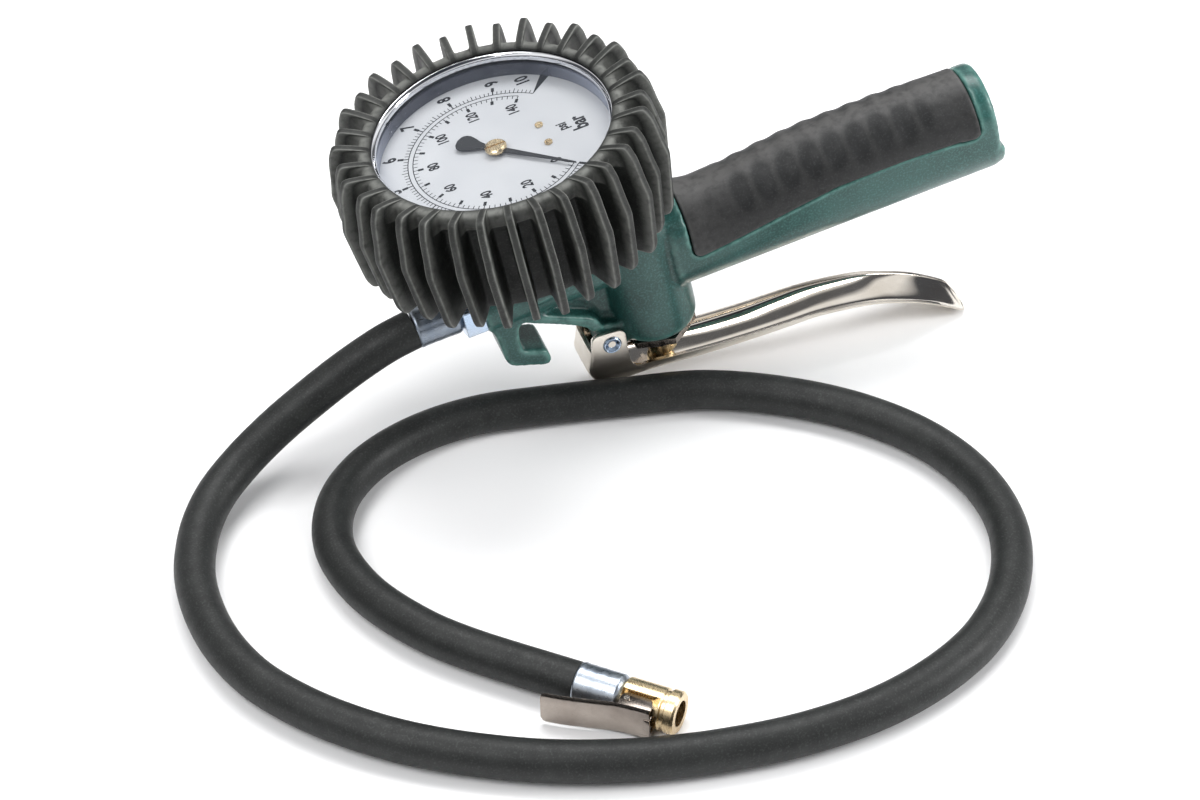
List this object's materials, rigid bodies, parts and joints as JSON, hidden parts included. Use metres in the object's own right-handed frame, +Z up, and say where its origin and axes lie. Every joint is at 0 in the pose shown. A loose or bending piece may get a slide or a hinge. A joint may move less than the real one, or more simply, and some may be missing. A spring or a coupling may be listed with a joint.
{
  "type": "tyre inflator with gauge",
  "caption": "Hand-held tyre inflator: finned rubber-cased dial gauge on a cast grip with squeeze lever, hanging hook, air inlet, hose and clip-on tyre chuck",
  "frame": {"origin": "on the floor that the tool stands on, under the middle of the tool's own box, hose and chuck left out", "axes": "+X towards the handle's end, +Y across the tool away from the hose's loop, +Z up; the tool's own axis rises by 10.5 degrees towards +X"},
  "size_m": [0.2973, 0.2379, 0.1243],
  "materials": {
    "casting_paint": "die-cast aluminium under satin dark green paint",
    "soft_grip": "matt black soft rubber with shallow finger hollows",
    "boot_rubber": "matt black moulded rubber",
    "hose_rubber": "smooth matt black hose cover",
    "seal_rubber": "black sealing rubber",
    "brass": "turned brass, lightly polished",
    "nickel": "pressed steel with warm bright nickel plating",
    "zinc": "turned steel with clear zinc plating",
    "zinc_blue": "turned steel with blue passivated zinc plating",
    "case_steel": "drawn steel cup, black lacquer",
    "chrome": "bright chromed ring",
    "dial_white": "white lacquered sheet with black printed scales",
    "pointer_black": "matt black lacquered sheet",
    "glass": "clear flat glass",
    "spacer_plastic": "translucent bluish grey plastic ring"
  },
  "bodies": {
    "tool": {"housing": "casting_paint", "grip_insert": "soft_grip", "inlet_bush": "brass", "inlet_filter": "zinc", "gauge_boot": "boot_rubber", "gauge_case": "case_steel", "gauge_socket": "brass", "bourdon_tube": "brass", "movement_plates": "brass", "movement_pillars": "brass", "hairspring": "nickel", "dial": "dial_white", "dial_screws": "brass", "glass_spacer": "spacer_plastic", "gauge_glass": "glass", "bezel_ring": "chrome", "valve_gland": "nickel", "gland_seal": "seal_rubber", "valve_spring": "nickel", "hose_fitting": "zinc_blue", "near_ferrule": "zinc", "hose": "hose_rubber", "chuck_ferrule": "zinc", "chuck_body": "brass", "chuck_seal": "seal_rubber", "valve_depressor": "brass", "clip_pin": "nickel", "clip_spring": "nickel"},
    "pointer_train": {"pinion_arbor": "nickel", "pointer": "pointer_black", "pointer_hub": "brass"},
    "sector": {"sector_gear": "brass"},
    "link": {"tip_link": "nickel"},
    "lever": {"lever": "nickel", "lever_rivet": "zinc_blue"},
    "valve_stem": {"valve_button": "brass", "valve_poppet": "seal_rubber"},
    "clip": {"chuck_clip": "nickel"}
  },
  "joints": [
    {"name": "lever_hinge", "type": "hinge", "parent": "tool", "child": "lever", "pos_m": [-0.02611, 0, 0.02296], "axis": [0, -1, 0], "range_deg": [0, 6.5], "stiffness_Nm_per_rad": 2, "springref_deg": -25.78},
    {"name": "valve_stroke", "type": "slide", "parent": "tool", "child": "valve_stem", "axis": [-0.1822, 0, 0.9833], "range_m": [0, 0.0024], "deforming": ["valve_spring"]},
    {"name": "sector_swing", "type": "hinge", "parent": "tool", "child": "sector", "pos_m": [-0.04435, 0, 0.09992], "axis": [-0.1822, 0, 0.9833], "range_deg": [0, 45], "stiffness_Nm_per_rad": 0.001, "springref_deg": -11.46},
    {"name": "pointer_turn", "type": "hinge", "parent": "tool", "child": "pointer_train", "pos_m": [-0.0588, 0, 0.09724], "axis": [0.1822, 0, -0.9833], "range_deg": [0, 270]},
    {"name": "link_pivot", "type": "hinge", "parent": "sector", "child": "link", "pos_m": [-0.04481, -0.0053, 0.10116], "axis": [-0.1822, 0, 0.9833], "range_deg": [-45, 0]},
    {"name": "clip_hinge", "type": "hinge", "parent": "tool", "child": "clip", "pos_m": [-0.07215, -0.15287, 0.0068], "axis": [0, 0, -1], "range_deg": [0, 10], "stiffness_Nm_per_rad": 0.05, "springref_deg": -17.19}
  ],
  "couplings": [
    {"joint": "valve_stroke", "follows": "lever_hinge", "m_per_rad": 0.0205},
    {"joint": "pointer_turn", "follows": "sector_swing", "ratio": 6},
    {"joint": "link_pivot", "follows": "sector_swing", "ratio": -1}
  ]
}
